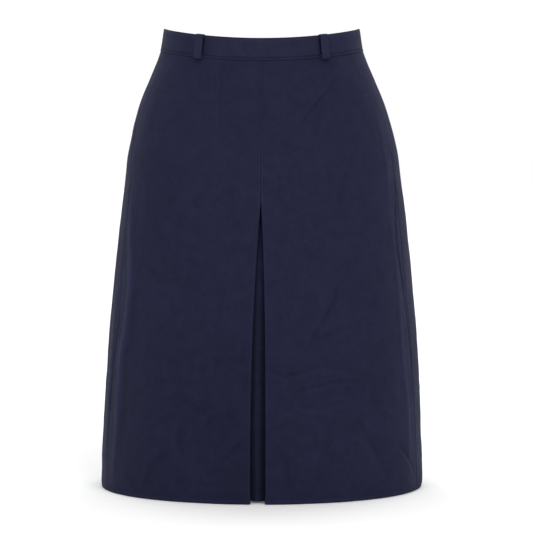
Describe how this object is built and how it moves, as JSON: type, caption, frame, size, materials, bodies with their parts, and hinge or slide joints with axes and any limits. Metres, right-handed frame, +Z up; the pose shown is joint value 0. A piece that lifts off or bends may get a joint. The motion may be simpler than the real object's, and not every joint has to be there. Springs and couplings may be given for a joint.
{
  "type": "flared skirt",
  "caption": "Knee-length flared skirt in navy cotton twill, held at the waist, with a stitched inverted pleat at the centre front, a waistband with belt loops and a concealed back zip.",
  "frame": {"origin": "middle of the waist, level with the top edge of the waistband at the centre front, which is where the wearer holds the skirt up", "axes": "+Z up along the wearer, -Y towards the front of the skirt, +X towards the wearer's left"},
  "size_m": [0.4451, 0.3156, 0.6293],
  "materials": {
    "twill": "matte washed cotton twill, dark navy",
    "band_twill": "matte interfaced cotton twill, dark navy",
    "zip_tape": "plain woven zip tape, dark navy",
    "zip_metal": "dark enamelled die-cast zip metal, satin"
  },
  "bodies": {
    "skirt": {"front_left": "twill", "front_right": "twill", "back_left": "twill", "back_right": "twill", "pleat_underlay": "twill", "waistband": "band_twill", "belt_loop_front_left": "band_twill", "belt_loop_front_right": "band_twill", "belt_loop_back_left": "band_twill", "belt_loop_back_right": "band_twill", "zip_tape_left": "zip_tape", "zip_tape_right": "zip_tape", "zip_slider": "zip_metal"},
    "pull_tab": {"zip_pull": "zip_metal"}
  },
  "joints": [
    {"name": "pull_tab_hinge", "type": "hinge", "parent": "skirt", "child": "pull_tab", "pos_m": [-0.00081, 0.09635, -0.01355], "axis": [1, 0, 0], "range_deg": [0, 170]}
  ]
}
